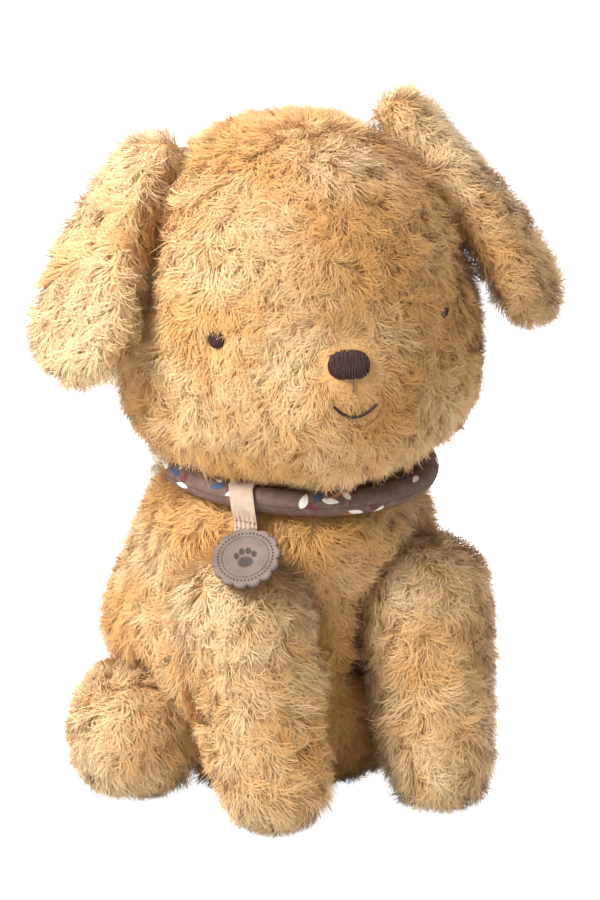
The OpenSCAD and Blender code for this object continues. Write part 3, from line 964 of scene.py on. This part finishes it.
def tape_layer(path, offset):
    """One face of the tape, offset from its line, as rows of points across it."""
    step = np.gradient(path, axis=0)
    outward = unit(np.stack([step[:, 1], -step[:, 0]], 1))
    along = np.concatenate([[0], np.cumsum(np.linalg.norm(np.diff(path, axis=0), axis=1))])
    u = np.linspace(-0.5, 0.5, TAPE_COLS)[None, :]
    # puckers where the thread draws both layers together, fading up and down
    sewn = np.exp(-((path[:, 1] - 13.5 * MM) / (2.6 * MM)) ** 2)[:, None]
    ripple = 0.42 * MM * sewn * np.sin(u * TAPE_W / (2.3 * MM) * 2 * math.pi)
    wave = 0.18 * MM * np.sin(along[:, None] / (7 * MM)) * np.sin(u * 5)
    edge = 1 - np.abs(u * 2) ** 12
    lift = (offset * (0.35 + 0.65 * edge) + ripple + wave)[..., None]
    flat = path[:, None, :] + outward[:, None, :] * lift
    x = u * TAPE_W * (1 - 0.06 * sewn) + SLIP * flat[..., 1].clip(0)
    points = TUBE_AT_TAG + TAG_X * x[..., None] + TAG_OUT * flat[..., :1] + HANG * flat[..., 1:2]
    uv = np.stack(np.broadcast_arrays(along[:, None], u * TAPE_W), -1).reshape(-1, 2)
    return points, uv


def tape():
    """The loop of tape over the tube, and the two rows of stitches that close it."""
    path = tape_path(150)
    rows, cols = len(path), TAPE_COLS
    front, uv = tape_layer(path, TAPE_HALF_THICK)
    back, _ = tape_layer(path, -TAPE_HALF_THICK)
    size = rows * cols
    faces = [f[::-1] for f in grid_faces(rows, cols)] + grid_faces(rows, cols, False, size)
    rim = ([r * cols for r in range(rows)] + [(rows - 1) * cols + c for c in range(1, cols)]
           + [r * cols + cols - 1 for r in range(rows - 2, -1, -1)] + list(range(cols - 2, 0, -1)))
    faces += [(a, b, b + size, a + size) for a, b in zip(rim, rim[1:] + rim[:1])]
    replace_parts(piece("tape_loop", np.concatenate([front.reshape(-1, 3), back.reshape(-1, 3)]), faces,
                      TAPE, "tag", np.concatenate([uv, uv])), "tag_tape")
    stitches = []
    for row, level in enumerate((11.8 * MM, 15.0 * MM)):
        line = rows - 1 - np.argmin(np.abs(path[::-1][:40, 1] - level))
        for k in range(6):
            c = 2 + k * 5
            a, b = front[line, c], front[min(line + 1, rows - 1), c + 3]
            t = np.linspace(0, 1, 7)[:, None]
            stitches.append(a + (b - a) * t + TAG_OUT * (0.38 * MM * np.sin(math.pi * t) - 0.05 * MM)
                            + HANG * 0.25 * MM * (row - 0.5) * t)
    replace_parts(tubes("tape_stitches", stitches, [0.26 * MM] * len(stitches), MAUVE, "tag",
                      6), "tag_stitches")


tape()


def leather_disc():
    """Scalloped disc with a softened edge, a pricked ring and a paw print pressed in."""
    around, rings, scallops, pricks = 672, 72, 14, 46
    t = np.linspace(0, 2 * math.pi, around, endpoint=False)
    edge = TAG_R - 1.3 * MM * (1 - np.abs(np.cos(t * scallops / 2)) ** 0.8)
    share = np.linspace(0.0, 1.0, rings) ** 0.8
    share[0] = 0.004
    r = share[:, None] * edge[None, :]
    x, y = r * np.cos(t), r * np.sin(t)
    prick_r = TAG_R - 3.4 * MM
    spot = np.round(t / (2 * math.pi) * pricks) / pricks * 2 * math.pi
    near = np.hypot(x - prick_r * np.cos(spot), y - prick_r * np.sin(spot))
    pressed = np.exp(-(near / (0.42 * MM)) ** 4)
    for cx, cy, a, b in ((0, 2.6, 3.3, 2.7), (-3.9, -0.9, 1.15, 1.6), (-1.45, -2.9, 1.2, 1.75),
                         (1.45, -2.9, 1.2, 1.75), (3.9, -0.9, 1.15, 1.6)):
        blob = np.hypot((x / MM - cx) / a, (y / MM - cy) / b)
        pressed = np.maximum(pressed, 1 / (1 + np.exp((blob - 1) * 14)))
    ring = np.exp(-((np.hypot(x, y) - (TAG_R - 5.2 * MM)) / (0.22 * MM)) ** 2)
    pressed = np.maximum(pressed, 0.55 * ring)
    bow = 0.5 * MM * (x / TAG_R) ** 2 - 0.3 * MM * (y / TAG_R) ** 2
    round_off = TAG_THICK * 0.28 * np.clip((share[:, None] - 0.93) / 0.07, 0, 1) ** 2
    half = TAG_THICK / 2
    front = half - round_off - pressed * 0.45 * MM + bow
    back = -half + round_off + bow

    def at(px, py, pz):
        return TAG_MIDDLE + TAG_SIDE * px[..., None] + TAG_DOWN * py[..., None] + TAG_OUT * pz[..., None]

    verts = np.concatenate([at(x, y, front).reshape(-1, 3), at(x, y, back).reshape(-1, 3)])
    size = rings * around
    faces = grid_faces(rings, around, True) + [f[::-1] for f in grid_faces(rings, around, True, size)]
    outer = [(rings - 1) * around + k for k in range(around)]
    faces += [(a, a + size, b + size, b) for a, b in zip(outer, outer[1:] + outer[:1])]
    faces += [tuple(range(around - 1, -1, -1)), tuple(range(size, size + around))]
    disc = piece("leather_disc", verts, faces, LEATHER, "tag")
    # this attribute carries the painted shade in the pressed hollows, and the darker rim and back
    mark = disc.data.attributes.new("pressed", "FLOAT", "POINT")
    rim_dark = np.clip((share[:, None] - 0.95) / 0.05, 0, 1) ** 3 * 0.6 + 0 * x
    mark.data.foreach_set("value", np.concatenate(
        [np.maximum(pressed, rim_dark).ravel(), (0.25 + rim_dark).ravel()]).clip(0, 1).astype(np.float32))
    return disc


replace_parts(leather_disc(), "leather_tag")


# ---- Studio ----

def toward(azimuth, elevation):
    """Direction from the dog, in degrees round from its front and up from the floor."""
    a, e = math.radians(azimuth), math.radians(elevation)
    return Vector((math.sin(a) * math.cos(e), -math.cos(a) * math.cos(e), math.sin(e)))


def studio():
    """White paper floor, soft light and the camera."""
    scene = bpy.context.scene
    world = bpy.data.worlds.new("studio")
    scene.world = world
    world.use_nodes = True
    scene.view_settings.view_transform = "Standard"
    nodes, links = world.node_tree.nodes, world.node_tree.links
    soft = nodes["Background"]
    soft.inputs["Color"].default_value = (1.0, 0.985, 0.96, 1)
    soft.inputs["Strength"].default_value = 0.40
    seen = nodes.new("ShaderNodeBackground")
    seen.inputs["Color"].default_value = (1, 1, 1, 1)
    seen.inputs["Strength"].default_value = 1.0
    mix, path = nodes.new("ShaderNodeMixShader"), nodes.new("ShaderNodeLightPath")
    links.new(path.outputs["Is Camera Ray"], mix.inputs["Fac"])
    links.new(soft.outputs[0], mix.inputs[1])
    links.new(seen.outputs[0], mix.inputs[2])
    links.new(mix.outputs[0], nodes["World Output"].inputs["Surface"])
    mesh = bpy.data.meshes.new("floor")
    mesh.from_pydata([(-6, -6, 0), (6, -6, 0), (6, 6, 0), (-6, 6, 0)], [], [(0, 1, 2, 3)])
    floor = bpy.data.objects.new("floor", mesh)
    scene.collection.objects.link(floor)
    m, floor_nodes, floor_links, shader = new_material("floor_paper", (0.8, 0.8, 0.8), 0.9,
                                                       Emission_Color=(1, 1, 1, 1))
    # white paper to the eye, without lighting the dog from below
    floor_links.new(floor_nodes.new("ShaderNodeLightPath").outputs["Is Camera Ray"],
                    shader.inputs["Emission Strength"])
    mesh.materials.append(m)
    back = toward(CAMERA_AZIMUTH, CAMERA_ELEVATION)
    camera = bpy.data.objects.new("camera", bpy.data.cameras.new("camera"))
    camera.location = AIM + back * CAMERA_DISTANCE
    camera.rotation_mode = "QUATERNION"
    camera.rotation_quaternion = (-back).to_track_quat("-Z", "Y")
    camera.data.lens = CAMERA_LENS
    scene.collection.objects.link(camera)
    scene.camera = camera
    for name, (azimuth, elevation, distance, size, power) in LIGHTS.items():
        way = toward(azimuth, elevation)
        light = bpy.data.objects.new(name, bpy.data.lights.new(name, "AREA"))
        light.data.size = size
        light.data.energy = power
        light.location = AIM + way * distance
        light.rotation_mode = "QUATERNION"
        light.rotation_quaternion = way.to_track_quat("Z", "Y")
        scene.collection.objects.link(light)


studio()
